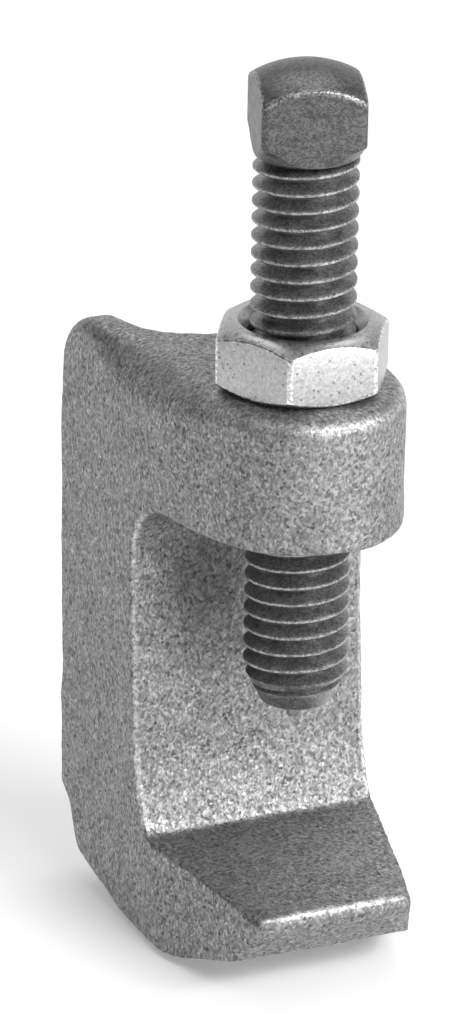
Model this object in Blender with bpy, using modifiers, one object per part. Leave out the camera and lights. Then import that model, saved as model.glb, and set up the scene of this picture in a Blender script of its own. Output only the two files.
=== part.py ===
"""C-type beam clamp: an iron C-casting, a square-head set screw and a hexagon lock nut.

Frame: the origin is on the screw's axis, on the seat that goes under the beam flange.
+Z points up along the screw, and the open mouth of the C faces -Y.
"""
import math

import bmesh
import bpy
from mathutils import Matrix, Vector

MM = 0.001

# Thread of the set screw: 3/8 inch, 16 threads to the inch
THREAD_PITCH = 25.4 / 16 * MM
THREAD_RADIUS = 4.66 * MM
THREAD_ROOT_RADIUS = 3.80 * MM
CREST_WIDTH = THREAD_PITCH / 6
ROOT_WIDTH = THREAD_PITCH / 5
RUNNING_GAP = 0.3 * MM
BORE_RADIUS = THREAD_RADIUS + RUNNING_GAP

# Casting: side view. "Forward" runs from the screw's axis towards -Y.
THROAT = 32.5 * MM
ARM_DEPTH = 13.0 * MM
ARM_TOP = THROAT + ARM_DEPTH
FLANGE_SLOPE = 1 / 7.5
TIP_FORWARD = 9.8 * MM
NOSE_EDGE_SETBACK = 0.5 * MM
NOSE_EDGE_DROP = 1.0 * MM
NOSE_SETBACK = 3.1 * MM
NOSE_HEIGHT = 4.95 * MM
JAW_DEPTH = 9.1 * MM
INNER_FACE_TOP = -10.8 * MM
INNER_FACE_FOOT = -8.84 * MM
INNER_FACE_FOOT_HEIGHT = 4.6 * MM
SEAT_BACK = -6.7 * MM
BACK_TOP = -27.15 * MM
BACK_FOOT = -25.8 * MM
TOP_BACK_RADIUS = 6.0 * MM
HEEL = (-23.9 * MM, -2.4 * MM)
HEEL_UNDER = (-22.1 * MM, -6.3 * MM)
BELLY = (-12.0 * MM, -8.8 * MM)
CHIN = -2.4 * MM
BACK_FOOT_HEIGHT = -1.2 * MM
INNER_TOP_RADIUS = 5.5 * MM
INNER_FOOT_RADIUS = 17.0 * MM
SEAT_CREASE = 0.5 * MM

# Casting: plan view
SPINE_HALF_WIDTH = 11.4 * MM
BOSS_FORWARD = 9.25 * MM
ARM_NARROWS_FROM = -14.8 * MM
ARM_OUTLINE_POWER = 2.5
JAW_NARROWS_FROM = -7.0 * MM
TIP_HALF_WIDTH = 7.3 * MM
JAW_SIDE_DRAFT = 0.1
CAST_EDGE = 0.6 * MM
JAW_TRIM_TOP = 1.2 * MM
JAW_TRIM_HEIGHT = 26 * MM

# Rod channel down the back of the spine, and the tapped hole for the hanger rod
CHANNEL_RADIUS = 8.0 * MM
CHANNEL_AXIS = -22.2 * MM
CHANNEL_FLOOR = 4.0 * MM
ROD_AXIS = -18.4 * MM
ROD_HOLE_RADIUS = 3.97 * MM

# Set screw
POINT_FACE = 15.4 * MM
POINT_RADIUS = 3.1 * MM
POINT_LENGTH = 3.2 * MM
NUB_LENGTH = 1.8 * MM
NUB_RADIUS = 0.6 * MM
NUB_TIP_RADIUS = 0.4 * MM
NUB_SHOULDER = 0.3 * MM
THREAD_START = 9.7 * MM
HEAD_BOTTOM = 66.6 * MM
HEAD_ACROSS_FLATS = 9.3 * MM
HEAD_SHOULDER = 2.0 * MM
HEAD_SHOULDER_RADIUS = 5.5 * MM
HEAD_SHOULDER_HEIGHT = 1.2 * MM
HEAD_NECK_RADIUS = 4.6 * MM
HEAD_HEIGHT = 8.3 * MM
CROWN_RADIUS = 9.6 * MM
HEAD_TURN = math.radians(-16.7)

# Lock nut: 3/8 inch hexagon jam nut
NUT_ACROSS_FLATS = 14.29 * MM
NUT_THICKNESS = 5.56 * MM
NUT_BOTTOM = ARM_TOP + RUNNING_GAP
NUT_TOP_CHAMFER = 1.25 * MM
NUT_TOP_FLAT_RADIUS = 6.3 * MM
NUT_BOTTOM_CHAMFER = 0.8 * MM
NUT_BOTTOM_FLAT_RADIUS = 6.9 * MM
NUT_TURN = math.radians(-2.7)

NUT_COUNTERSINK = 1.5 * MM
NUT_COUNTERSINK_DEPTH = 0.5 * MM

THREAD_STEPS = 14
ROUND_STEPS = 28
CROWN_STEPS = 8
OVERSIZE = 15 * MM
CLEARANCE = 1 * MM


def clear_scene():
    for obj in list(bpy.data.objects):
        bpy.data.objects.remove(obj, do_unlink=True)


def new_collection(name):
    collection = bpy.data.collections.new(name)
    bpy.context.scene.collection.children.link(collection)
    return collection


def new_object(name, mesh, collection):
    obj = bpy.data.objects.new(name, mesh)
    collection.objects.link(obj)
    return obj


def new_material(name, colour, metallic, roughness):
    material = bpy.data.materials.new(name)
    material.use_nodes = True
    shader = material.node_tree.nodes["Principled BSDF"]
    shader.inputs["Base Color"].default_value = (*colour, 1.0)
    shader.inputs["Metallic"].default_value = metallic
    shader.inputs["Roughness"].default_value = roughness
    return material


def corner_arc(before, corner, after, radius, steps=5):
    """The points of the arc that rounds one corner of an outline."""
    to_before = (Vector(before) - Vector(corner)).normalized()
    to_after = (Vector(after) - Vector(corner)).normalized()
    half_angle = to_before.angle(to_after) / 2
    middle = Vector(corner) + (to_before + to_after).normalized() * radius / math.sin(half_angle)
    start = Vector(corner) + to_before * radius / math.tan(half_angle) - middle
    end = Vector(corner) + to_after * radius / math.tan(half_angle) - middle
    sweep = start.angle_signed(end)
    return [middle + Matrix.Rotation(-sweep * i / steps, 2) @ start for i in range(steps + 1)]


def rounded_outline(corners):
    """An outline from (u, v, radius) corners, each rounded where its radius isn't zero."""
    points = []
    for i, (u, v, radius) in enumerate(corners):
        before = corners[i - 1][:2]
        after = corners[(i + 1) % len(corners)][:2]
        points += corner_arc(before, (u, v), after, radius) if radius else [Vector((u, v))]
    return points


def mesh_from_curve(name, outline, depth, matrix, collection):
    """A flat outline extruded to a depth, as a closed mesh."""
    curve = bpy.data.curves.new(name, "CURVE")
    curve.dimensions = "2D"
    curve.fill_mode = "BOTH"
    curve.extrude = depth / 2
    spline = curve.splines.new("POLY")
    spline.points.add(len(outline) - 1)
    spline.use_cyclic_u = True
    for point, (u, v) in zip(spline.points, outline):
        point.co = (u, v, 0, 1)
    flat = new_object(name + "_outline", curve, collection)
    flat.matrix_world = matrix
    bpy.context.view_layer.update()
    evaluated = flat.evaluated_get(bpy.context.evaluated_depsgraph_get())
    mesh = bpy.data.meshes.new_from_object(evaluated)
    bpy.data.objects.remove(flat, do_unlink=True)
    edit = bmesh.new()
    edit.from_mesh(mesh)
    bmesh.ops.remove_doubles(edit, verts=edit.verts, dist=1e-7)
    bmesh.ops.recalc_face_normals(edit, faces=edit.faces)
    bmesh.ops.transform(edit, matrix=matrix, verts=edit.verts)
    edit.to_mesh(mesh)
    edit.free()
    mesh.name = name
    return new_object(name, mesh, collection)


def turned(name, profile, steps, collection):
    """A closed solid of revolution about Z from a (radius, height) profile that runs downwards."""
    mesh = bpy.data.meshes.new(name)
    edges = [(i, i + 1) for i in range(len(profile) - 1)]
    mesh.from_pydata([(radius, 0, height) for radius, height in profile], edges, [])
    obj = new_object(name, mesh, collection)
    screw = obj.modifiers.new("turn", "SCREW")
    screw.steps = steps
    screw.render_steps = steps
    screw.use_merge_vertices = True
    screw.merge_threshold = 1e-6
    apply_modifiers(obj)
    return obj


def apply_modifiers(obj):
    """Replaces the object's mesh by its evaluated mesh."""
    bpy.context.view_layer.update()
    evaluated = obj.evaluated_get(bpy.context.evaluated_depsgraph_get())
    mesh = bpy.data.meshes.new_from_object(evaluated)
    obj.modifiers.clear()
    obj.data = mesh


def combine(obj, other, operation):
    """Applies one exact Boolean between two objects."""
    boolean = obj.modifiers.new(operation.lower(), "BOOLEAN")
    boolean.operation = operation
    boolean.solver = "EXACT"
    boolean.object = other
    apply_modifiers(obj)


def cylinder(name, radius, bottom, top, forward, collection, steps=ROUND_STEPS):
    """An upright cylinder whose axis is a distance forward of the screw's."""
    mesh = bpy.data.meshes.new(name)
    edit = bmesh.new()
    bmesh.ops.create_cone(edit, cap_ends=True, segments=steps, radius1=radius, radius2=radius,
                          depth=top - bottom)
    bmesh.ops.translate(edit, verts=edit.verts, vec=(0, -forward, (top + bottom) / 2))
    edit.to_mesh(mesh)
    edit.free()
    return new_object(name, mesh, collection)


def regular_prism(name, sides, across_flats, turn, bottom, top, collection):
    """An upright prism with a flat side facing the turn angle, measured from -Y."""
    radius = across_flats / 2 / math.cos(math.pi / sides)
    mesh = bpy.data.meshes.new(name)
    edit = bmesh.new()
    bmesh.ops.create_cone(edit, cap_ends=True, segments=sides, radius1=radius, radius2=radius,
                          depth=top - bottom)
    bmesh.ops.rotate(edit, verts=edit.verts, matrix=Matrix.Rotation(turn + math.pi / sides, 3, "Z"))
    bmesh.ops.translate(edit, verts=edit.verts, vec=(0, 0, (top + bottom) / 2))
    edit.to_mesh(mesh)
    edit.free()
    return new_object(name, mesh, collection)


def arm_outline(points_per_side=20):
    """Plan of the arm and boss: a squared ellipse that starts at the spine's full width."""
    length = BOSS_FORWARD - ARM_NARROWS_FROM
    outline = []
    for i in range(points_per_side + 1):
        angle = math.pi / 2 * i / points_per_side
        along = math.sin(angle) ** (2 / ARM_OUTLINE_POWER)
        across = math.cos(angle) ** (2 / ARM_OUTLINE_POWER)
        outline.append((SPINE_HALF_WIDTH * across, ARM_NARROWS_FROM + length * along))
    mirrored = [(-x, forward) for x, forward in reversed(outline[:-1])]
    return [(x, -forward) for x, forward in outline + mirrored]


def side_outline():
    """Side view of the casting as (forward, height) corners with their radii."""
    foot_rise = -SEAT_BACK * FLANGE_SLOPE
    tip_top = (NOSE_EDGE_SETBACK - TIP_FORWARD) * FLANGE_SLOPE
    return rounded_outline([
        (OVERSIZE, ARM_TOP, 0),
        (BACK_TOP, ARM_TOP, TOP_BACK_RADIUS),
        (BACK_FOOT, BACK_FOOT_HEIGHT, 0.6 * MM),
        (*HEEL, 0.6 * MM),
        (*HEEL_UNDER, 2.5 * MM),
        (*BELLY, 12 * MM),
        (CHIN, -JAW_DEPTH, 20 * MM),
        (TIP_FORWARD - NOSE_SETBACK, tip_top - NOSE_HEIGHT, 1.0 * MM),
        (TIP_FORWARD, tip_top - NOSE_EDGE_DROP, 0.8 * MM),
        (TIP_FORWARD - NOSE_EDGE_SETBACK, tip_top, 0.3 * MM),
        (SEAT_BACK, foot_rise, SEAT_CREASE),
        (INNER_FACE_FOOT, INNER_FACE_FOOT_HEIGHT, INNER_FOOT_RADIUS),
        (INNER_FACE_TOP, THROAT, INNER_TOP_RADIUS),
        (OVERSIZE, THROAT, 0),
    ])


def make_clamp_body(parts, cutters):
    """The C-casting: arm with a boss for the screw, spine with a rod channel, and jaw."""
    side_to_world = Matrix(((0, 0, 1, 0), (-1, 0, 0, 0), (0, 1, 0, 0), (0, 0, 0, 1)))
    body = mesh_from_curve("clamp_body", side_outline(), 2 * SPINE_HALF_WIDTH, side_to_world, parts)

    wide = SPINE_HALF_WIDTH + OVERSIZE
    around = [(-wide, -ARM_NARROWS_FROM), (-wide, -wide), (wide, -wide), (wide, -ARM_NARROWS_FROM)]
    lift = Matrix.Translation((0, 0, ARM_TOP - ARM_DEPTH / 2))
    arm_trim = mesh_from_curve("arm_trim", around + arm_outline(), ARM_DEPTH + 16 * CLEARANCE, lift,
                               cutters)
    combine(body, arm_trim, "DIFFERENCE")

    for side in (-1, 1):
        slope = (SPINE_HALF_WIDTH - TIP_HALF_WIDTH) / (TIP_FORWARD - JAW_NARROWS_FROM)
        behind = JAW_NARROWS_FROM - JAW_TRIM_TOP
        wedge = [(side * (SPINE_HALF_WIDTH + slope * JAW_TRIM_TOP), -behind),
                 (side * (SPINE_HALF_WIDTH - slope * (OVERSIZE - JAW_NARROWS_FROM)), -OVERSIZE),
                 (side * wide, -OVERSIZE), (side * wide, -behind)]
        drop = Matrix.Translation((0, 0, JAW_TRIM_TOP - JAW_TRIM_HEIGHT / 2))
        jaw_trim = mesh_from_curve("jaw_trim", wedge, JAW_TRIM_HEIGHT, drop, cutters)
        draft = Matrix.Identity(4)
        draft[0][2] = -side * JAW_SIDE_DRAFT
        draft[0][3] = -side * JAW_SIDE_DRAFT * SEAT_BACK * FLANGE_SLOPE
        jaw_trim.data.transform(draft)
        combine(body, jaw_trim, "DIFFERENCE")

    soften = body.modifiers.new("cast_edges", "BEVEL")
    soften.width = CAST_EDGE
    soften.segments = 2
    soften.limit_method = "ANGLE"
    soften.angle_limit = math.radians(50)
    apply_modifiers(body)

    screw_bore = cylinder("screw_bore", BORE_RADIUS, THROAT - CLEARANCE, ARM_TOP + CLEARANCE, 0,
                          cutters)
    combine(body, screw_bore, "DIFFERENCE")
    channel = cylinder("rod_channel", CHANNEL_RADIUS, CHANNEL_FLOOR, ARM_TOP + OVERSIZE,
                       CHANNEL_AXIS, cutters)
    combine(body, channel, "DIFFERENCE")
    rod_hole = cylinder("rod_hole", ROD_HOLE_RADIUS, -OVERSIZE, OVERSIZE, ROD_AXIS, cutters)
    combine(body, rod_hole, "DIFFERENCE")
    return body


def make_thread(bottom, top, collection):
    """A right-hand threaded rod: one pitch of the thread's outline swept by the Screw modifier."""
    outline = [(THREAD_ROOT_RADIUS, 0), (THREAD_ROOT_RADIUS, ROOT_WIDTH),
               (THREAD_RADIUS, (THREAD_PITCH + ROOT_WIDTH - CREST_WIDTH) / 2),
               (THREAD_RADIUS, (THREAD_PITCH + ROOT_WIDTH + CREST_WIDTH) / 2),
               (THREAD_ROOT_RADIUS, THREAD_PITCH)]
    mesh = bpy.data.meshes.new("thread")
    edges = [(i, i + 1) for i in range(len(outline) - 1)]
    mesh.from_pydata([(radius, 0, bottom + height) for radius, height in outline], edges, [])
    thread = new_object("thread", mesh, collection)
    screw = thread.modifiers.new("helix", "SCREW")
    screw.screw_offset = THREAD_PITCH
    screw.iterations = math.ceil((top - bottom) / THREAD_PITCH)
    screw.steps = THREAD_STEPS
    screw.render_steps = THREAD_STEPS
    apply_modifiers(thread)
    edit = bmesh.new()
    edit.from_mesh(thread.data)
    bmesh.ops.remove_doubles(edit, verts=edit.verts, dist=1e-6)
    bmesh.ops.holes_fill(edit, edges=edit.edges, sides=0)
    bmesh.ops.recalc_face_normals(edit, faces=edit.faces)
    edit.to_mesh(thread.data)
    edit.free()
    return thread


def make_set_screw(parts, cutters):
    """Square head with a domed crown, full-length thread and a bevelled point with a small nub."""
    crown_top = HEAD_BOTTOM + HEAD_HEIGHT
    crown_centre = crown_top - CROWN_RADIUS
    reach = 0.72 * HEAD_ACROSS_FLATS
    crown = []
    for i in range(CROWN_STEPS + 1):
        radius = reach * i / CROWN_STEPS
        crown.append((radius, crown_centre + math.sqrt(CROWN_RADIUS ** 2 - radius ** 2)))
    envelope = crown + [(reach, HEAD_BOTTOM + HEAD_SHOULDER),
                        (HEAD_SHOULDER_RADIUS, HEAD_BOTTOM + HEAD_SHOULDER_HEIGHT),
                        (HEAD_NECK_RADIUS, HEAD_BOTTOM), (0, HEAD_BOTTOM)]
    head_envelope = turned("head_envelope", envelope, ROUND_STEPS, cutters)
    head = regular_prism("head", 4, HEAD_ACROSS_FLATS, HEAD_TURN, HEAD_BOTTOM - CLEARANCE,
                         crown_top + CLEARANCE, cutters)
    combine(head, head_envelope, "INTERSECT")

    shank_top = HEAD_BOTTOM + CLEARANCE
    shank_radius = THREAD_RADIUS + CLEARANCE / 2
    inside_head = THREAD_ROOT_RADIUS - RUNNING_GAP
    point_slope = POINT_LENGTH / (THREAD_RADIUS - POINT_RADIUS)
    point_top = POINT_FACE + point_slope * (shank_radius - POINT_RADIUS)
    shank = [(0, shank_top), (inside_head, shank_top), (inside_head, HEAD_BOTTOM + RUNNING_GAP),
             (shank_radius, HEAD_BOTTOM - RUNNING_GAP), (shank_radius, point_top),
             (POINT_RADIUS, POINT_FACE), (NUB_RADIUS, POINT_FACE - NUB_SHOULDER),
             (NUB_TIP_RADIUS, POINT_FACE - NUB_LENGTH), (0, POINT_FACE - NUB_LENGTH)]
    shank_envelope = turned("shank_envelope", shank, ROUND_STEPS, cutters)
    screw = make_thread(THREAD_START, shank_top + 2 * THREAD_PITCH, parts)
    screw.name = "set_screw"
    combine(screw, shank_envelope, "INTERSECT")
    combine(screw, head, "UNION")
    return screw


def make_lock_nut(parts, cutters):
    """Hexagon jam nut with its corners chamfered above and below."""
    top = NUT_BOTTOM + NUT_THICKNESS
    rim = NUT_ACROSS_FLATS / 2 / math.cos(math.pi / 6) + RUNNING_GAP
    envelope = [(0, top), (NUT_TOP_FLAT_RADIUS, top), (rim, top - NUT_TOP_CHAMFER),
                (rim, NUT_BOTTOM + NUT_BOTTOM_CHAMFER), (NUT_BOTTOM_FLAT_RADIUS, NUT_BOTTOM),
                (0, NUT_BOTTOM)]
    nut_envelope = turned("nut_envelope", envelope, 2 * ROUND_STEPS, cutters)
    nut = regular_prism("lock_nut", 6, NUT_ACROSS_FLATS, NUT_TURN, NUT_BOTTOM - CLEARANCE,
                        top + CLEARANCE, parts)
    combine(nut, nut_envelope, "INTERSECT")
    bore = [(0, top + CLEARANCE), (BORE_RADIUS + NUT_COUNTERSINK, top + CLEARANCE),
            (BORE_RADIUS, top - NUT_COUNTERSINK_DEPTH), (BORE_RADIUS, NUT_BOTTOM - CLEARANCE),
            (0, NUT_BOTTOM - CLEARANCE)]
    combine(nut, turned("nut_bore", bore, ROUND_STEPS, cutters), "DIFFERENCE")
    return nut


def finish_part(obj, material, origin):
    """Gives a piece its material, smooth shading and an origin on its joint's axis."""
    obj.data.transform(Matrix.Translation(-origin))
    obj.location = origin
    obj.data.materials.clear()
    obj.data.materials.append(material)
    obj.data.shade_smooth()
    obj.data.set_sharp_from_angle(angle=math.radians(30))


def build():
    clear_scene()
    parts = new_collection("beam_clamp")
    cutters = new_collection("cutters")
    iron = new_material("cast_iron", (0.24, 0.24, 0.23), 0.6, 0.6)
    black_steel = new_material("dark_steel", (0.13, 0.13, 0.13), 0.8, 0.4)
    zinc = new_material("zinc_plated_steel", (0.6, 0.6, 0.6), 0.9, 0.35)
    finish_part(make_clamp_body(parts, cutters), iron, Vector((0, 0, 0)))
    finish_part(make_set_screw(parts, cutters), black_steel, Vector((0, 0, ARM_TOP)))
    finish_part(make_lock_nut(parts, cutters), zinc, Vector((0, 0, ARM_TOP)))
    for cutter in cutters.objects:
        cutter.hide_render = True
        cutter.display_type = "WIRE"


build()
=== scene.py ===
"""Looks of the beam clamp: a sand-cast C-body, a square-head set screw and a zinc-plated lock nut.

Everything is in metres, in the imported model's frame: the origin is on the screw's axis on the flange
seat, +Z points up along the screw and the open mouth of the C faces -Y ("forward").
"""
import math

import bmesh
import bpy
import numpy as np
from mathutils import Matrix, Vector, noise


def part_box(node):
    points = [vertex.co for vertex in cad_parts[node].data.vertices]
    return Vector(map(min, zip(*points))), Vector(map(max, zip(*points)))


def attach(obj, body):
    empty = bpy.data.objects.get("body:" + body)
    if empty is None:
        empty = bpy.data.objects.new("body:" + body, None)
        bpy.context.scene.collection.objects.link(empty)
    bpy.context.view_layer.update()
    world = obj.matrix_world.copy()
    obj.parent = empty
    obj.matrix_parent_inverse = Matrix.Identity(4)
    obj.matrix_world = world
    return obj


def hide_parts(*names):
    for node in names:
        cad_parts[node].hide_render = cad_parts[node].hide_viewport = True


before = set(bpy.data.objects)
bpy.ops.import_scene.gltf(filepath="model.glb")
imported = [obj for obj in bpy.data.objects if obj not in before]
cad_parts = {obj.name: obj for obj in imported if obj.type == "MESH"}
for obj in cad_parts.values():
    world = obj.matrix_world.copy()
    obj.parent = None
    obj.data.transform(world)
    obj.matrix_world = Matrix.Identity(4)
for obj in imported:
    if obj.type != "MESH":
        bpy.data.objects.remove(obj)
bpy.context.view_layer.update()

MM = 0.001
body_low, body_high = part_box("clamp_body")
screw_low, screw_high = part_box("set_screw")
nut_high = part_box("lock_nut")[1]

# Casting, side view (forward of the screw's axis, height)
ARM_TOP = body_high.z
THROAT = ARM_TOP - 13.0 * MM
BACK_TOP = -27.15 * MM
BACK_FOOT = -25.8 * MM
BOSS_FORWARD = 9.25 * MM
JAW_DEPTH = 9.1 * MM
FLANGE_SLOPE = 1 / 7.5
TIP_FORWARD = 9.8 * MM
NOSE_EDGE_SETBACK = 0.5 * MM
NOSE_EDGE_DROP = 1.0 * MM
NOSE_SETBACK = 3.1 * MM
NOSE_HEIGHT = 4.95 * MM
TIP_TOP = (NOSE_EDGE_SETBACK - TIP_FORWARD) * FLANGE_SLOPE
SEAT_BACK = -6.7 * MM
INNER_FACE_TOP = -10.8 * MM
INNER_FACE_FOOT = (-8.84 * MM, 4.6 * MM)
INNER_FOOT_RADIUS = 17 * MM
INNER_TOP_RADIUS = 5.5 * MM
SEAT_CREASE = 0.5 * MM

# Casting, plan view
SPINE_HALF_WIDTH = body_high.x
ARM_NARROWS_FROM = -14.8 * MM
ARM_OUTLINE_POWER = 2.5
JAW_NARROWS_FROM = -7.0 * MM
TIP_HALF_WIDTH = 7.3 * MM
JAW_SIDE_DRAFT = 0.1
JAW_TRIM_TOP = 1.2 * MM
JAW_TRIM_HEIGHT = 26 * MM
ARM_TRIM_EXTRA = 8 * MM
CAST_EDGE = 0.45 * MM
BOSS_EDGE = 3.4 * MM
BOSS_EDGE_DROP = 2.0 * MM
ARM_EDGE = 4.2 * MM
HORN_EDGE = 1.3 * MM
BACK_EDGE = 0.8 * MM
THROAT_EDGE = 0.6 * MM
# Painted highlights on the casting: lighter lines along the throat's sides and the nose's top edge, and a
# lighter band low on the boss's rim
HIGHLIGHT_WIDTH = 0.26 * MM
RIM_HIGHLIGHT_DROP = 1.2 * MM
RIM_HIGHLIGHT_WIDTH = 0.45 * MM
RIM_HIGHLIGHT = 0.5
ROLL_FROM = 6 * MM
ROLL_FULL = 10 * MM
HORN_LENGTH = 5 * MM
HORN_SOFT_WIDTH = 1.2 * MM
NOSE_SOFT_WIDTH = 2.2 * MM

# Rod channel and holes
CHANNEL_RADIUS = 8.0 * MM
CHANNEL_AXIS = -22.2 * MM
CHANNEL_FLOOR = 4.0 * MM
ROD_AXIS = -18.4 * MM
ROD_HOLE_RADIUS = 3.97 * MM
SCREW_BORE_RADIUS = 4.95 * MM

# Sand-cast skin
VOXEL = 0.26 * MM
LUMP_SIZE = 4.5 * MM
LUMP_HEIGHT = 0.10 * MM
GRAIN_SIZE = 0.9 * MM
GRAIN_HEIGHT = 0.035 * MM

# Set screw: 3/8 inch, 16 threads to the inch
THREAD_PITCH = 25.4 / 16 * MM
THREAD_RADIUS = 4.68 * MM
THREAD_DEPTH = 1.08 * MM
CREST_ABOVE_ORIGIN = 10.757 * MM
THREAD_TURNS = 37
POINT_FACE = 15.4 * MM
POINT_RADIUS = 3.1 * MM
POINT_LENGTH = 3.2 * MM
NUB_RADIUS = 0.9 * MM
HEAD_BOTTOM = 66.6 * MM
HEAD_ACROSS_FLATS = 9.3 * MM
HEAD_SHOULDER = 2.0 * MM
HEAD_SHOULDER_RADIUS = 5.5 * MM
HEAD_SHOULDER_HEIGHT = 1.2 * MM
HEAD_NECK_RADIUS = 4.6 * MM
CROWN_RADIUS = 9.6 * MM
HEAD_TURN = math.radians(-16.7)
HEAD_CORNER = 0.5 * MM
HEAD_VOXEL = 0.15 * MM
HEAD_SOFTENING = 6
# Painted highlights on the screw: lighter lines where the crown meets the flats, and along the thread's
# crests
HEAD_HIGHLIGHT_WIDTH = 0.2 * MM
CREST_HIGHLIGHT_DEPTH = 0.04 * MM
CREST_HIGHLIGHT = 0.45

# Lock nut: 3/8 inch hexagon jam nut
NUT_ACROSS_FLATS = 14.29 * MM
NUT_BOTTOM = ARM_TOP + 0.08 * MM
NUT_TOP = nut_high.z
NUT_TOP_FLAT_RADIUS = 6.5 * MM
NUT_TOP_CHAMFER = 1.15 * MM
NUT_BOTTOM_FLAT_RADIUS = 6.9 * MM
NUT_BOTTOM_CHAMFER = 0.8 * MM
NUT_BORE_RADIUS = 4.85 * MM
NUT_COUNTERSINK_RADIUS = 5.75 * MM
NUT_COUNTERSINK_DEPTH = 1.1 * MM
NUT_TURN = math.radians(-2.7)
NUT_EDGE = 0.16 * MM

OVERSIZE = 15 * MM

scene = bpy.context.scene


# ---------------------------------------------------------------- mesh tools

def new_object(name, mesh):
    obj = bpy.data.objects.new(name, mesh)
    scene.collection.objects.link(obj)
    return obj


def apply_modifiers(obj):
    """Replaces the object's mesh by its evaluated mesh."""
    bpy.context.view_layer.update()
    evaluated = obj.evaluated_get(bpy.context.evaluated_depsgraph_get())
    mesh = bpy.data.meshes.new_from_object(evaluated)
    obj.modifiers.clear()
    obj.data = mesh


def combine(obj, other, operation):
    """Applies one exact Boolean and removes the other object."""
    boolean = obj.modifiers.new(operation.lower(), "BOOLEAN")
    boolean.operation = operation
    boolean.solver = "EXACT"
    boolean.object = other
    apply_modifiers(obj)
    bpy.data.objects.remove(other, do_unlink=True)


def bevel(obj, width, segments, degrees):
    """Rounds the edges that turn more than an angle, and gives the new faces the second slot."""
    while len(obj.data.materials) < 2:
        obj.data.materials.append(None)
    edges = obj.modifiers.new("bevel", "BEVEL")
    edges.material = 1
    edges.width = width
    edges.segments = segments
    edges.limit_method = "ANGLE"
    edges.angle_limit = math.radians(degrees)
    apply_modifiers(obj)


def voxel_remesh(obj, size):
    remesh = obj.modifiers.new("remesh", "REMESH")
    remesh.mode = "VOXEL"
    remesh.voxel_size = size
    apply_modifiers(obj)


def corner_arc(before, corner, after, radius, steps=16):
    """The points of the arc that rounds one corner of an outline."""
    to_before = (Vector(before) - Vector(corner)).normalized()
    to_after = (Vector(after) - Vector(corner)).normalized()
    half_angle = to_before.angle(to_after) / 2
    middle = Vector(corner) + (to_before + to_after).normalized() * radius / math.sin(half_angle)
    start = Vector(corner) + to_before * radius / math.tan(half_angle) - middle
    end = Vector(corner) + to_after * radius / math.tan(half_angle) - middle
    sweep = start.angle_signed(end)
    return [middle + Matrix.Rotation(-sweep * i / steps, 2) @ start for i in range(steps + 1)]


def rounded_outline(corners):
    """An outline from (u, v, radius) corners, each rounded where its radius isn't zero."""
    points = []
    for i, (u, v, radius) in enumerate(corners):
        before = corners[i - 1][:2]
        after = corners[(i + 1) % len(corners)][:2]
        points += corner_arc(before, (u, v), after, radius) if radius else [Vector((u, v))]
    return points


def extruded(name, outline, depth, matrix):
    """A flat outline extruded to a depth, as a closed mesh."""
    curve = bpy.data.curves.new(name, "CURVE")
    curve.dimensions = "2D"
    curve.fill_mode = "BOTH"
    curve.extrude = depth / 2
    spline = curve.splines.new("POLY")
    spline.points.add(len(outline) - 1)
    spline.use_cyclic_u = True
    for point, (u, v) in zip(spline.points, outline):
        point.co = (u, v, 0, 1)
    flat = new_object(name + "_outline", curve)
    bpy.context.view_layer.update()
    evaluated = flat.evaluated_get(bpy.context.evaluated_depsgraph_get())
    mesh = bpy.data.meshes.new_from_object(evaluated)
    bpy.data.objects.remove(flat, do_unlink=True)
    edit = bmesh.new()
    edit.from_mesh(mesh)
    bmesh.ops.remove_doubles(edit, verts=edit.verts, dist=1e-7)
    bmesh.ops.recalc_face_normals(edit, faces=edit.faces)
    bmesh.ops.transform(edit, matrix=matrix, verts=edit.verts)
    edit.to_mesh(mesh)
    edit.free()
    return new_object(name, mesh)


def turned(name, profile, steps):
    """A closed solid of revolution about Z from a (radius, height) profile that runs downwards."""
    mesh = bpy.data.meshes.new(name)
    edges = [(i, i + 1) for i in range(len(profile) - 1)]
    mesh.from_pydata([(radius, 0, height) for radius, height in profile], edges, [])
    obj = new_object(name, mesh)
    screw = obj.modifiers.new("turn", "SCREW")
    screw.steps = steps
    screw.render_steps = steps
    screw.use_merge_vertices = True
    screw.merge_threshold = 1e-6
    apply_modifiers(obj)
    return obj


def cylinder(name, radius, bottom, top, forward, steps=72):
    """An upright cylinder whose axis is a distance forward of the screw's."""
    mesh = bpy.data.meshes.new(name)
    edit = bmesh.new()
    bmesh.ops.create_cone(edit, cap_ends=True, segments=steps, radius1=radius, radius2=radius,
                          depth=top - bottom)
    bmesh.ops.translate(edit, verts=edit.verts, vec=(0, -forward, (top + bottom) / 2))
    edit.to_mesh(mesh)
    edit.free()
    return new_object(name, mesh)


def regular_prism(name, sides, across_flats, turn, bottom, top):
    """An upright prism with a flat side facing the turn angle, measured from -Y."""
    radius = across_flats / 2 / math.cos(math.pi / sides)
    obj = cylinder(name, radius, bottom, top, 0, sides)
    obj.data.transform(Matrix.Rotation(turn + math.pi / sides, 4, "Z"))
    return obj


def coordinates(mesh):
    found = np.empty(len(mesh.vertices) * 3)
    mesh.vertices.foreach_get("co", found)
    return found.reshape(-1, 3)


def set_painted_highlight(mesh, domain, values):
    """Stores where a highlight is painted on the surface, from 0 to 1, for the material to read."""
    mesh.attributes.new("painted_highlight", "FLOAT", domain).data.foreach_set("value", values)


# Painted highlight: faces that the bevel put in the second slot are marked to be painted lighter, then
# every face goes back to the first slot
def paint_bevel_highlights(obj):
    mesh = obj.data
    slots = np.empty(len(mesh.polygons), dtype=np.int32)
    mesh.polygons.foreach_get("material_index", slots)
    set_painted_highlight(mesh, "FACE", (slots == 1).astype(np.float32))
    mesh.polygons.foreach_set("material_index", np.zeros_like(slots))


def finish_piece(obj, material, body, node, sharp_degrees):
    obj.data.materials.clear()
    obj.data.materials.append(material)
    obj.data.shade_smooth()
    if sharp_degrees:
        obj.data.set_sharp_from_angle(angle=math.radians(sharp_degrees))
    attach(obj, body)
    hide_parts(node)


# ---------------------------------------------------------------- casting

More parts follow.
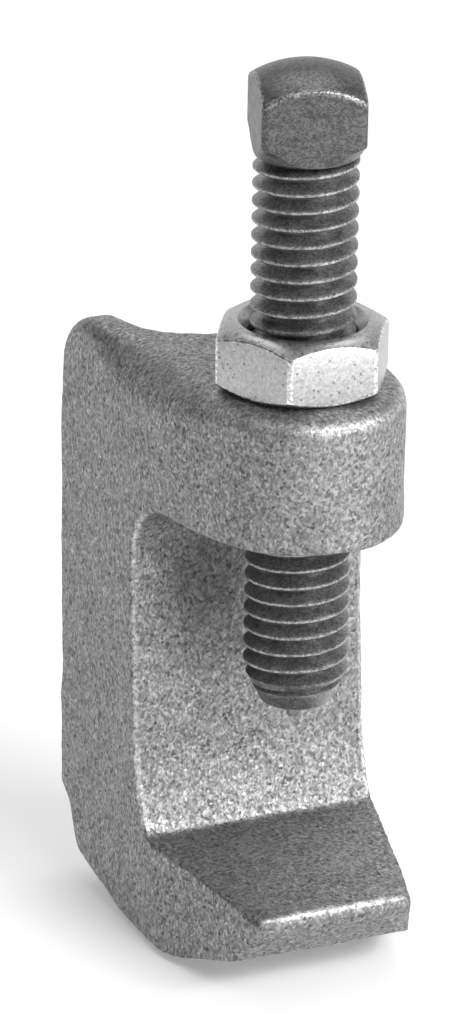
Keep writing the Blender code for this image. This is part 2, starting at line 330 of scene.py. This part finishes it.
def arm_outline(points_per_side=64):
    """Plan of the arm and boss: a squared ellipse that starts at the spine's full width."""
    length = BOSS_FORWARD - ARM_NARROWS_FROM
    outline = []
    for i in range(points_per_side + 1):
        angle = math.pi / 2 * i / points_per_side
        along = math.sin(angle) ** (2 / ARM_OUTLINE_POWER)
        across = math.cos(angle) ** (2 / ARM_OUTLINE_POWER)
        outline.append((SPINE_HALF_WIDTH * across, ARM_NARROWS_FROM + length * along))
    mirrored = [(-x, forward) for x, forward in reversed(outline[:-1])]
    return [(x, -forward) for x, forward in outline + mirrored]


def plan_outline():
    """Plan of the arm and boss, run far back along the spine's sides."""
    far_back = -2 * BACK_TOP
    return [(SPINE_HALF_WIDTH, far_back)] + arm_outline() + [(-SPINE_HALF_WIDTH, far_back)]


def side_outline():
    """Side view of the casting as (forward, height) corners with their radii."""
    return rounded_outline([
        (OVERSIZE, ARM_TOP, 0),
        (BACK_TOP, ARM_TOP, 6.0 * MM),
        (BACK_FOOT, -1.2 * MM, 0.6 * MM),
        (-23.9 * MM, -2.4 * MM, 0.6 * MM),
        (-22.1 * MM, -6.3 * MM, 2.5 * MM),
        (-12.0 * MM, -8.8 * MM, 12 * MM),
        (-2.4 * MM, -JAW_DEPTH, 20 * MM),
        (TIP_FORWARD - NOSE_SETBACK, TIP_TOP - NOSE_HEIGHT, 1.0 * MM),
        (TIP_FORWARD, TIP_TOP - NOSE_EDGE_DROP, 1.2 * MM),
        (TIP_FORWARD - NOSE_EDGE_SETBACK, TIP_TOP, 0.3 * MM),
        (SEAT_BACK, -SEAT_BACK * FLANGE_SLOPE, SEAT_CREASE),
        (*INNER_FACE_FOOT, INNER_FOOT_RADIUS),
        (INNER_FACE_TOP, THROAT, INNER_TOP_RADIUS),
        (OVERSIZE, THROAT, 0),
    ])


def trim_arm(body):
    """Cuts the arm to its plan, a little past its top and underside."""
    wide = SPINE_HALF_WIDTH + OVERSIZE
    around = [(-wide, -ARM_NARROWS_FROM), (-wide, -wide), (wide, -wide), (wide, -ARM_NARROWS_FROM)]
    height = ARM_TOP - THROAT + 2 * ARM_TRIM_EXTRA
    lift = Matrix.Translation((0, 0, (ARM_TOP + THROAT) / 2))
    combine(body, extruded("arm_trim", around + arm_outline(), height, lift), "DIFFERENCE")


def trim_jaw(body, side):
    """Cuts one side of the jaw back towards the tip, with the draft of the mould."""
    wide = SPINE_HALF_WIDTH + OVERSIZE
    slope = (SPINE_HALF_WIDTH - TIP_HALF_WIDTH) / (TIP_FORWARD - JAW_NARROWS_FROM)
    behind = JAW_NARROWS_FROM - JAW_TRIM_TOP
    wedge = [(side * (SPINE_HALF_WIDTH + slope * JAW_TRIM_TOP), -behind),
             (side * (SPINE_HALF_WIDTH - slope * (OVERSIZE - JAW_NARROWS_FROM)), -OVERSIZE),
             (side * wide, -OVERSIZE), (side * wide, -behind)]
    drop = Matrix.Translation((0, 0, JAW_TRIM_TOP - JAW_TRIM_HEIGHT / 2))
    jaw_trim = extruded("jaw_trim", wedge, JAW_TRIM_HEIGHT, drop)
    draft = Matrix.Identity(4)
    draft[0][2] = -side * JAW_SIDE_DRAFT
    draft[0][3] = -side * JAW_SIDE_DRAFT * SEAT_BACK * FLANGE_SLOPE
    jaw_trim.data.transform(draft)
    combine(body, jaw_trim, "DIFFERENCE")


def smooth_step(values, start, end):
    part = np.clip((values - start) / (end - start), 0, 1)
    return part * part * (3 - 2 * part)


def near(gap, width, reach=1.6):
    """1 close to a line, falling to 0 at a number of widths away from it."""
    return np.clip(reach - gap / width, 0, 1)


def gap_to_outline(points, outline, chunk=4000):
    """For 2D points: the distance to a closed outline, the nearest place on it and the way in."""
    starts = np.array([tuple(corner) for corner in outline])
    run = np.roll(starts, -1, axis=0) - starts
    following = starts + run
    turning = (starts[:, 0] * following[:, 1] - starts[:, 1] * following[:, 0]).sum()
    inward = np.stack([-run[:, 1], run[:, 0]], 1) * math.copysign(1, turning)
    inward /= np.linalg.norm(run, axis=1)[:, None]
    gaps, places, ways = [], [], []
    for first in range(0, len(points), chunk):
        part = points[first:first + chunk, None, :]
        along = np.clip(((part - starts) * run).sum(2) / (run ** 2).sum(1), 0, 1)
        place = starts + along[:, :, None] * run
        gap = np.linalg.norm(part - place, axis=2)
        nearest = gap.argmin(1)
        row = np.arange(len(nearest))
        gaps.append(gap[row, nearest])
        places.append(place[row, nearest])
        ways.append(inward[nearest])
    return np.concatenate(gaps), np.concatenate(places), np.concatenate(ways)


def roll_edges(points):
    """Rounds the edges between the casting's side view and its plan with radii that vary.

    The rim of the boss is tight, the arm's upper edges are full, and the throat's edges are small.
    """
    chosen = np.flatnonzero(points[:, 2] > ROLL_FROM)
    side_gap, _, side_way = gap_to_outline(points[chosen][:, :2], plan_outline())
    view = np.stack([-points[chosen][:, 1], points[chosen][:, 2]], 1)
    view_gap, view_place, view_way = gap_to_outline(view, side_outline())

    on_boss = smooth_step(view_place[:, 0], -8 * MM, 3 * MM)
    on_top = view_place[:, 1] > ARM_TOP - 0.1 * MM
    horn_end = BACK_TOP + HORN_LENGTH
    top = ARM_EDGE + (BOSS_EDGE - ARM_EDGE) * on_boss
    top = HORN_EDGE + (top - HORN_EDGE) * smooth_step(view_place[:, 0], horn_end, -13 * MM)
    back = BACK_EDGE + (HORN_EDGE - BACK_EDGE) * smooth_step(view_place[:, 1], ARM_TOP - 14 * MM,
                                                             ARM_TOP - 3 * MM)
    across = np.where(on_top, top, THROAT_EDGE)
    across = np.where(view_place[:, 0] < horn_end, back, across)
    across *= smooth_step(points[chosen][:, 2], ROLL_FROM, ROLL_FULL)
    down = across * (1 + (BOSS_EDGE_DROP / BOSS_EDGE - 1) * on_boss * on_top)
    inside_side = np.clip(1 - side_gap / np.maximum(across, 1e-9), 0, 1)
    inside_view = np.clip(1 - view_gap / np.maximum(down, 1e-9), 0, 1)
    reach = np.hypot(inside_side, inside_view)
    both = (inside_side > 0) & (inside_view > 0) & (reach > 1)
    pull = np.where(both, 1 - 1 / np.maximum(reach, 1e-9), 0)
    points[chosen, :2] += side_way * (inside_side * across * pull)[:, None]
    points[chosen, 1] -= view_way[:, 0] * inside_view * down * pull
    points[chosen, 2] += view_way[:, 1] * inside_view * down * pull


def painted_edge_highlights(points):
    """Where a highlight is painted on the casting: the throat's sides, the nose's top edge and a band on
    the boss's rim.
    """
    side_gap, _, _ = gap_to_outline(points[:, :2], plan_outline())
    view = np.stack([-points[:, 1], points[:, 2]], 1)
    view_gap, place, _ = gap_to_outline(view, side_outline())
    throat = (place[:, 0] > INNER_FACE_TOP - MM) & (place[:, 1] > 1.5 * MM) & (place[:, 1] < THROAT - MM)
    painted_highlight = near(np.hypot(side_gap, view_gap), HIGHLIGHT_WIDTH) * throat
    nose_gap = np.hypot(view[:, 0] - TIP_FORWARD + NOSE_EDGE_SETBACK, view[:, 1] - TIP_TOP)
    painted_highlight = np.maximum(painted_highlight, near(nose_gap, HIGHLIGHT_WIDTH))
    rim_gap = np.abs(ARM_TOP - RIM_HIGHLIGHT_DROP - points[:, 2])
    rim = near(rim_gap, RIM_HIGHLIGHT_WIDTH, 1.3) * (side_gap < 2 * RIM_HIGHLIGHT_WIDTH)
    rim = RIM_HIGHLIGHT * rim * smooth_step(view[:, 0], -4 * MM, 4 * MM)
    return np.maximum(painted_highlight, rim).astype(np.float32)


def soften_region(obj, name, weights, iterations):
    """Smooths the mesh where the weights say, which rounds the edges there."""
    group = obj.vertex_groups.new(name=name)
    for level in (0.25, 0.5, 0.75, 1.0):
        chosen = np.flatnonzero(np.abs(weights - level) <= 0.125)
        group.add(chosen.tolist(), level, "REPLACE")
    smooth = obj.modifiers.new(name, "SMOOTH")
    smooth.iterations = iterations
    smooth.factor = 0.5
    smooth.vertex_group = name
    apply_modifiers(obj)


def roughen(obj):
    """Sand-cast skin: low lumps from the mould and the coarser grains, along the normals."""
    points = coordinates(obj.data)
    normals = np.empty(len(points) * 3)
    obj.data.vertices.foreach_get("normal", normals)
    normals = normals.reshape(-1, 3)
    height = np.empty(len(points))
    for i, point in enumerate(points):
        place = Vector(point)
        lumps = noise.noise(place / LUMP_SIZE)
        grains = noise.noise(place / GRAIN_SIZE + Vector((7, 3, 5)))
        height[i] = LUMP_HEIGHT * lumps + GRAIN_HEIGHT * grains
    moved = points + normals * height[:, None]
    obj.data.vertices.foreach_set("co", moved.ravel())
    obj.data.update()


def make_casting():
    side_to_world = Matrix(((0, 0, 1, 0), (-1, 0, 0, 0), (0, 1, 0, 0), (0, 0, 0, 1)))
    body = extruded("casting", side_outline(), 2 * SPINE_HALF_WIDTH, side_to_world)
    trim_arm(body)
    for side in (-1, 1):
        trim_jaw(body, side)
    bevel(body, CAST_EDGE, 3, 50)
    combine(body, cylinder("rod_channel", CHANNEL_RADIUS, CHANNEL_FLOOR, ARM_TOP + OVERSIZE,
                           CHANNEL_AXIS), "DIFFERENCE")
    combine(body, cylinder("rod_hole", ROD_HOLE_RADIUS, -OVERSIZE, OVERSIZE, ROD_AXIS), "DIFFERENCE")
    combine(body, cylinder("screw_bore", SCREW_BORE_RADIUS, THROAT - 1 * MM, ARM_TOP + 1 * MM, 0),
            "DIFFERENCE")
    voxel_remesh(body, VOXEL)

    points = coordinates(body.data)
    roll_edges(points)
    body.data.vertices.foreach_set("co", points.ravel())
    body.data.update()
    soften_region(body, "all_edges", np.ones(len(points)), 4)
    points = coordinates(body.data)
    from_channel = np.abs(np.hypot(points[:, 0], points[:, 1] + CHANNEL_AXIS) - CHANNEL_RADIUS)
    horns = near(from_channel, HORN_SOFT_WIDTH, 1.5) * (points[:, 2] > CHANNEL_FLOOR)
    soften_region(body, "horns", horns, 30)
    points = coordinates(body.data)
    from_corner = np.hypot(np.abs(points[:, 0]) - TIP_HALF_WIDTH, points[:, 1] + TIP_FORWARD)
    corners = near(from_corner, NOSE_SOFT_WIDTH) * (points[:, 2] < 1 * MM)
    soften_region(body, "nose_corners", corners, 60)
    # Painted highlights along the casting's edges, stored on the mesh for the material
    painted_highlight = painted_edge_highlights(coordinates(body.data))
    roughen(body)
    set_painted_highlight(body.data, "POINT", painted_highlight)
    return body


# ---------------------------------------------------------------- screw and nut

def thread_profile(points_per_pitch=16):
    """One pitch of the thread as (radius, height): 60 degree flanks with soft crests and roots."""
    profile = []
    for i in range(points_per_pitch + 1):
        phase = i / points_per_pitch
        flank = abs(2 * phase - 1)
        rise = min(1.0, max(0.0, (0.95 - flank) / 0.80))
        rise = 0.75 * rise + 0.25 * rise * rise * (3 - 2 * rise)
        profile.append((THREAD_RADIUS - THREAD_DEPTH * (1 - rise), phase * THREAD_PITCH))
    return profile


def make_thread(bottom_turn, turns, steps=64):
    """A right-hand threaded rod, swept by the Screw modifier and capped."""
    bottom = CREST_ABOVE_ORIGIN + (bottom_turn - 0.5) * THREAD_PITCH
    profile = thread_profile()
    mesh = bpy.data.meshes.new("set_screw_fine")
    edges = [(i, i + 1) for i in range(len(profile) - 1)]
    mesh.from_pydata([(radius, 0, bottom + height) for radius, height in profile], edges, [])
    thread = new_object("set_screw_fine", mesh)
    screw = thread.modifiers.new("helix", "SCREW")
    screw.screw_offset = THREAD_PITCH
    screw.iterations = turns
    screw.steps = steps
    screw.render_steps = steps
    apply_modifiers(thread)
    edit = bmesh.new()
    edit.from_mesh(thread.data)
    bmesh.ops.remove_doubles(edit, verts=edit.verts, dist=1e-6)
    bmesh.ops.holes_fill(edit, edges=edit.edges, sides=0)
    bmesh.ops.recalc_face_normals(edit, faces=edit.faces)
    edit.to_mesh(thread.data)
    edit.free()
    return thread


def make_head():
    """Square head: flats, domed crown and corners chamfered underneath."""
    crown_top = screw_high.z
    crown_centre = crown_top - CROWN_RADIUS
    reach = 0.72 * HEAD_ACROSS_FLATS
    crown = []
    for i in range(17):
        radius = reach * i / 16
        crown.append((radius, crown_centre + math.sqrt(CROWN_RADIUS ** 2 - radius ** 2)))
    profile = crown + [(reach, HEAD_BOTTOM + HEAD_SHOULDER),
                       (HEAD_SHOULDER_RADIUS, HEAD_BOTTOM + HEAD_SHOULDER_HEIGHT),
                       (HEAD_NECK_RADIUS, HEAD_BOTTOM), (0, HEAD_BOTTOM)]
    head = regular_prism("head", 4, HEAD_ACROSS_FLATS, HEAD_TURN, HEAD_BOTTOM - 1 * MM,
                         crown_top + 1 * MM)
    bevel(head, HEAD_CORNER, 4, 60)
    combine(head, turned("head_envelope", profile, 96), "INTERSECT")
    voxel_remesh(head, HEAD_VOXEL)
    soften_region(head, "head_edges", np.ones(len(head.data.vertices)), HEAD_SOFTENING)
    return head


def screw_highlights(points):
    """Painted highlight lines where the crown meets the flats of the head, and along the thread's crests.
    """
    turn = np.array([[math.cos(HEAD_TURN), -math.sin(HEAD_TURN)],
                     [math.sin(HEAD_TURN), math.cos(HEAD_TURN)]])
    flats = np.abs(points[:, :2] @ turn)
    side_gap = HEAD_ACROSS_FLATS / 2 - flats.max(1)
    from_axis = np.hypot(points[:, 0], points[:, 1])
    from_centre = np.hypot(from_axis, points[:, 2] - screw_high.z + CROWN_RADIUS)
    on_crown = near(np.hypot(side_gap, CROWN_RADIUS - from_centre), HEAD_HIGHLIGHT_WIDTH)
    on_crest = CREST_HIGHLIGHT * (from_axis > THREAD_RADIUS - CREST_HIGHLIGHT_DEPTH)
    return np.where(points[:, 2] > HEAD_BOTTOM, on_crown, on_crest).astype(np.float32)


def make_set_screw():
    shank_top = HEAD_BOTTOM + 1 * MM
    shank_radius = THREAD_RADIUS + 0.5 * MM
    inside_head = THREAD_RADIUS - THREAD_DEPTH - 0.3 * MM
    point_slope = POINT_LENGTH / (THREAD_RADIUS - POINT_RADIUS)
    point_top = POINT_FACE + point_slope * (shank_radius - POINT_RADIUS)
    profile = [(0, shank_top), (inside_head, shank_top), (inside_head, HEAD_BOTTOM + 0.3 * MM),
               (shank_radius, HEAD_BOTTOM - 0.2 * MM), (shank_radius, point_top),
               (POINT_RADIUS, POINT_FACE + 0.15 * MM), (POINT_RADIUS - 0.25 * MM, POINT_FACE),
               (2.2 * MM, POINT_FACE - 0.12 * MM), (1.5 * MM, POINT_FACE - 0.25 * MM),
               (NUB_RADIUS, POINT_FACE - 0.35 * MM), (NUB_RADIUS * 0.7, screw_low.z + 0.2 * MM),
               (0, screw_low.z)]
    screw = make_thread(1, THREAD_TURNS)
    combine(screw, turned("shank_envelope", profile, 96), "INTERSECT")
    combine(screw, make_head(), "UNION")
    # Painted highlights on the head's edges and the thread's crests
    set_painted_highlight(screw.data, "POINT", screw_highlights(coordinates(screw.data)))
    return screw


def make_lock_nut():
    rim = NUT_ACROSS_FLATS / 2 / math.cos(math.pi / 6) + 0.1 * MM
    profile = [(0, NUT_TOP), (NUT_TOP_FLAT_RADIUS, NUT_TOP), (rim, NUT_TOP - NUT_TOP_CHAMFER),
               (rim, NUT_BOTTOM + NUT_BOTTOM_CHAMFER), (NUT_BOTTOM_FLAT_RADIUS, NUT_BOTTOM),
               (0, NUT_BOTTOM)]
    nut = regular_prism("lock_nut_fine", 6, NUT_ACROSS_FLATS, NUT_TURN, NUT_BOTTOM - 1 * MM,
                        NUT_TOP + 1 * MM)
    bevel(nut, 0.3 * MM, 3, 30)
    combine(nut, turned("nut_envelope", profile, 144), "INTERSECT")
    bevel(nut, NUT_EDGE, 3, 40)
    bore = [(0, NUT_TOP + 1 * MM), (NUT_COUNTERSINK_RADIUS + 1 * MM, NUT_TOP + 1 * MM),
            (NUT_COUNTERSINK_RADIUS, NUT_TOP), (NUT_BORE_RADIUS, NUT_TOP - NUT_COUNTERSINK_DEPTH),
            (NUT_BORE_RADIUS, NUT_BOTTOM - 1 * MM), (0, NUT_BOTTOM - 1 * MM)]
    combine(nut, turned("nut_bore", bore, 96), "DIFFERENCE")
    paint_bevel_highlights(nut)
    return nut


# ---------------------------------------------------------------- materials

class Nodes:
    """A material's node tree with short calls for what these materials repeat."""

    def __init__(self, name, metallic, roughness):
        self.material = bpy.data.materials.new(name)
        self.material.use_nodes = True
        self.tree = self.material.node_tree
        self.shader = self.tree.nodes["Principled BSDF"]
        self.shader.inputs["Metallic"].default_value = metallic
        self.shader.inputs["Roughness"].default_value = roughness
        self.place = self.tree.nodes.new("ShaderNodeTexCoord").outputs["Object"]

    def add(self, kind, **settings):
        node = self.tree.nodes.new(kind)
        for key, value in settings.items():
            setattr(node, key, value)
        return node

    def link(self, source, target):
        self.tree.links.new(source, target)

    def texture(self, kind, size, stretch):
        """A texture whose features are about one size across, in metres, stretched along an axis."""
        mapping = self.add("ShaderNodeMapping")
        mapping.inputs["Scale"].default_value = [1 / (size * s) for s in stretch]
        self.link(self.place, mapping.inputs["Vector"])
        texture = self.add(kind)
        texture.inputs["Scale"].default_value = 1.0
        self.link(mapping.outputs["Vector"], texture.inputs["Vector"])
        return texture

    def noise(self, size, detail, stretch=(1, 1, 1)):
        texture = self.texture("ShaderNodeTexNoise", size, stretch)
        texture.inputs["Detail"].default_value = detail
        return texture.outputs["Fac"]

    def ramp(self, source, low, high, low_value, high_value):
        """Maps low..high of the source to two values, smoothly."""
        span = self.add("ShaderNodeMapRange", interpolation_type="SMOOTHSTEP")
        span.inputs["From Min"].default_value = low
        span.inputs["From Max"].default_value = high
        span.inputs["To Min"].default_value = low_value
        span.inputs["To Max"].default_value = high_value
        self.link(source, span.inputs["Value"])
        return span.outputs["Result"]

    def math(self, operation, first, second):
        node = self.add("ShaderNodeMath", operation=operation)
        self.link(first, node.inputs[0])
        if isinstance(second, (int, float)):
            node.inputs[1].default_value = second
        else:
            self.link(second, node.inputs[1])
        return node.outputs["Value"]

    def grey(self, source):
        combine_colour = self.add("ShaderNodeCombineColor")
        for channel in ("Red", "Green", "Blue"):
            self.link(source, combine_colour.inputs[channel])
        self.link(combine_colour.outputs["Color"], self.shader.inputs["Base Color"])

    def bump(self, heights):
        """Chains (height, distance in metres) pairs into the shader's normal."""
        normal = None
        for height, distance in heights:
            node = self.add("ShaderNodeBump")
            node.inputs["Distance"].default_value = distance
            self.link(height, node.inputs["Height"])
            if normal:
                self.link(normal, node.inputs["Normal"])
            normal = node.outputs["Normal"]
        self.link(normal, self.shader.inputs["Normal"])

    def cells(self, size, stretch=(1, 1, 1)):
        """Cells about one size across: a random value for each, and the distance from its middle."""
        texture = self.texture("ShaderNodeTexVoronoi", size, stretch)
        value = self.add("ShaderNodeSeparateColor")
        self.link(texture.outputs["Color"], value.inputs["Color"])
        return value.outputs["Red"], texture.outputs["Distance"]

    def painted_highlight(self, strength):
        """The mesh's record of where a highlight is painted on it, times a strength."""
        highlight_amount = self.add("ShaderNodeAttribute", attribute_name="painted_highlight").outputs["Fac"]
        return self.math("MULTIPLY", highlight_amount, strength)


def cast_iron():
    m = Nodes("sand_cast_iron", metallic=0.9, roughness=0.5)
    grains, grain_middle = m.cells(0.18 * MM, stretch=(1, 1, 1.4))
    flecks, _ = m.cells(0.26 * MM)
    cloud = m.noise(0.40 * MM, detail=3, stretch=(1, 1, 1.5))
    patches = m.noise(3.5 * MM, detail=3)
    shade = m.ramp(grains, 0.0, 1.0, 0.18, 0.35)
    shade = m.math("MULTIPLY", shade, m.ramp(cloud, 0.3, 0.7, 0.80, 1.20))
    shade = m.math("MULTIPLY", shade, m.ramp(patches, 0.3, 0.7, 0.93, 1.07))
    shade = m.math("ADD", shade, m.ramp(flecks, 0.86, 0.98, 0.0, 0.10))
    shade = m.math("MULTIPLY", shade, m.ramp(flecks, 0.03, 0.12, 0.55, 1.0))
    # Painted highlight: the marked edges of the casting are painted lighter
    highlight_amount = m.math("MULTIPLY", m.painted_highlight(1.0), m.ramp(grains, 0.0, 1.0, 0.22, 0.50))
    m.grey(m.math("ADD", shade, highlight_amount))
    m.link(m.ramp(flecks, 0.2, 0.9, 0.60, 0.42), m.shader.inputs["Roughness"])
    m.bump([(grain_middle, -0.02 * MM), (cloud, 0.032 * MM)])
    return m.material


def dark_steel():
    m = Nodes("dark_oiled_steel", metallic=0.85, roughness=0.4)
    grains, grain_middle = m.cells(0.16 * MM)
    smears = m.noise(2.0 * MM, detail=3, stretch=(1, 1, 0.4))
    shade = m.math("MULTIPLY", m.ramp(grains, 0.0, 1.0, 0.07, 0.15), m.ramp(smears, 0.3, 0.7, 0.85, 1.15))
    # Painted light: the thread below the head is painted 1.9 times lighter, to make up for the shade in
    # its grooves
    height = m.add("ShaderNodeSeparateXYZ")
    m.link(m.place, height.inputs["Vector"])
    thread_lightening = m.ramp(height.outputs["Z"], HEAD_BOTTOM - 0.3 * MM, HEAD_BOTTOM, 1.9, 1.0)
    shade = m.math("MULTIPLY", shade, thread_lightening)
    # Painted highlight: the crown's edges and the thread's crests are painted lighter
    m.grey(m.math("ADD", shade, m.math("MULTIPLY", m.painted_highlight(0.35), grains)))
    m.link(m.ramp(smears, 0.3, 0.7, 0.32, 0.44), m.shader.inputs["Roughness"])
    m.bump([(grain_middle, -0.012 * MM)])
    return m.material


def zinc_plate():
    m = Nodes("bright_zinc_plate", metallic=1.0, roughness=0.4)
    grains, grain_middle = m.cells(0.22 * MM)
    pits, _ = m.cells(0.20 * MM)
    shade = m.math("MULTIPLY", m.ramp(grains, 0.0, 1.0, 0.38, 0.52), m.ramp(pits, 0.015, 0.04, 0.45, 1.0))
    # Painted highlight: the nut's bevelled edges are painted lighter
    m.grey(m.math("ADD", shade, m.math("MULTIPLY", m.painted_highlight(0.45), grains)))
    m.link(m.ramp(grains, 0.0, 1.0, 0.30, 0.40), m.shader.inputs["Roughness"])
    m.bump([(grain_middle, -0.008 * MM)])
    return m.material


# ---------------------------------------------------------------- studio

VIEW_AZIMUTH = math.radians(-25.75)
VIEW_ELEVATION = math.radians(20.5)
VIEW_ROLL = math.radians(1.27)
VIEW_DISTANCE = 0.65
VIEW_LENS = 260.95
AIM_RIGHT = -6.41 * MM
AIM_UP = -12.11 * MM

WALL_EDGE = 0.0
WALL_MIDDLE = 0.8
WALL_DIM = 0.10
WALL_BRIGHT = 1.05
CEILING_BRIGHT = 0.55
FLOOR_GLOW = 0.22


def make_camera():
    """A long lens that looks slightly down on the clamp from its front left."""
    back = Vector((math.sin(VIEW_AZIMUTH) * math.cos(VIEW_ELEVATION),
                   -math.cos(VIEW_AZIMUTH) * math.cos(VIEW_ELEVATION), math.sin(VIEW_ELEVATION)))
    right = Vector((math.cos(VIEW_AZIMUTH), math.sin(VIEW_AZIMUTH), 0))
    up = back.cross(right)
    rolled_right = math.cos(VIEW_ROLL) * right + math.sin(VIEW_ROLL) * up
    rolled_up = -math.sin(VIEW_ROLL) * right + math.cos(VIEW_ROLL) * up
    nut_centre = Vector((0, 0, ARM_TOP + 0.7 * MM))
    place = nut_centre + back * VIEW_DISTANCE
    aim = nut_centre + AIM_RIGHT * rolled_right + AIM_UP * rolled_up
    backwards = (place - aim).normalized()
    right_axis = rolled_up.cross(backwards).normalized()
    up_axis = backwards.cross(right_axis)
    data = bpy.data.cameras.new("camera")
    data.sensor_fit = "VERTICAL"
    data.sensor_height = 36
    data.lens = VIEW_LENS
    data.clip_start = 0.01
    camera = bpy.data.objects.new("camera", data)
    scene.collection.objects.link(camera)
    camera.matrix_world = Matrix((
        (right_axis.x, up_axis.x, backwards.x, place.x),
        (right_axis.y, up_axis.y, backwards.y, place.y),
        (right_axis.z, up_axis.z, backwards.z, place.z),
        (0, 0, 0, 1)))
    scene.camera = camera


def area_light(name, azimuth, elevation, distance, width, height, power):
    """A soft light aimed at the clamp; azimuth 0 is straight in front, + to the right."""
    a, e = math.radians(azimuth), math.radians(elevation)
    away = Vector((math.sin(a) * math.cos(e), -math.cos(a) * math.cos(e), math.sin(e)))
    data = bpy.data.lights.new(name, "AREA")
    data.shape = "RECTANGLE"
    data.size = width
    data.size_y = height
    data.energy = power
    light = bpy.data.objects.new(name, data)
    scene.collection.objects.link(light)
    light.location = Vector((0, 0, 0.03)) + away * distance
    light.rotation_mode = "QUATERNION"
    light.rotation_quaternion = away.to_track_quat("Z", "Y")


def make_world():
    """White along the horizon, glowing behind the clamp up to half height, and dark elsewhere."""
    world = bpy.data.worlds.new("studio")
    scene.world = world
    world.use_nodes = True
    tree = world.node_tree

    def fade(source, start, end, low, high):
        node = tree.nodes.new("ShaderNodeMapRange")
        node.interpolation_type = "SMOOTHSTEP"
        for name, value in zip(("From Min", "From Max", "To Min", "To Max"), (start, end, low, high)):
            node.inputs[name].default_value = value
        tree.links.new(source, node.inputs["Value"])
        return node.outputs["Result"]

    def calculate(operation, first, second):
        node = tree.nodes.new("ShaderNodeMath")
        node.operation = operation
        tree.links.new(first, node.inputs[0])
        tree.links.new(second, node.inputs[1])
        return node.outputs["Value"]

    direction = tree.nodes.new("ShaderNodeTexCoord").outputs["Generated"]
    parts = tree.nodes.new("ShaderNodeSeparateXYZ")
    behind = tree.nodes.new("ShaderNodeVectorMath")
    behind.operation = "DOT_PRODUCT"
    behind.inputs[1].default_value = (-math.sin(VIEW_AZIMUTH), math.cos(VIEW_AZIMUTH), 0)
    tree.links.new(direction, parts.inputs["Vector"])
    tree.links.new(direction, behind.inputs[0])
    horizon = fade(parts.outputs["Z"], 0.02, 0.08, 0.95, 0.0)
    wall = fade(behind.outputs["Value"], WALL_EDGE, WALL_MIDDLE, WALL_DIM, WALL_BRIGHT)
    overhead = fade(parts.outputs["Z"], 0.28, 0.65, 1.0, 0.3)
    glow = calculate("MAXIMUM", horizon, calculate("MULTIPLY", wall, overhead))
    glow = calculate("MAXIMUM", glow, fade(parts.outputs["Z"], 0.55, 0.80, 0.0, CEILING_BRIGHT))
    colour = tree.nodes.new("ShaderNodeCombineColor")
    for channel in ("Red", "Green", "Blue"):
        tree.links.new(glow, colour.inputs[channel])
    tree.links.new(colour.outputs["Color"], tree.nodes["Background"].inputs["Color"])


def make_floor():
    mesh = bpy.data.meshes.new("floor")
    edit = bmesh.new()
    bmesh.ops.create_circle(edit, cap_ends=True, segments=96, radius=6.0)
    bmesh.ops.translate(edit, verts=edit.verts, vec=(0, 0, body_low.z - 0.4 * MM))
    edit.to_mesh(mesh)
    edit.free()
    floor = new_object("floor", mesh)
    material = bpy.data.materials.new("pale_floor")
    material.use_nodes = True
    shader = material.node_tree.nodes["Principled BSDF"]
    shader.inputs["Base Color"].default_value = (0.9, 0.9, 0.9, 1)
    shader.inputs["Roughness"].default_value = 0.9
    shader.inputs["Emission Color"].default_value = (1, 1, 1, 1)
    shader.inputs["Emission Strength"].default_value = FLOOR_GLOW
    mesh.materials.append(material)


make_camera()
scene.view_settings.view_transform = "Standard"
make_world()
make_floor()
area_light("key", 27, 38, 0.6, 0.55, 0.22, 3.3)
area_light("low_key", 22, 5, 0.7, 0.25, 0.2, 1.1)
area_light("floor_wash", 154, 62, 1.6, 1.2, 0.8, 7.0)

finish_piece(make_casting(), cast_iron(), "clamp_body", "clamp_body", 0)
finish_piece(make_set_screw(), dark_steel(), "set_screw", "set_screw", 35)
finish_piece(make_lock_nut(), zinc_plate(), "lock_nut", "lock_nut", 35)
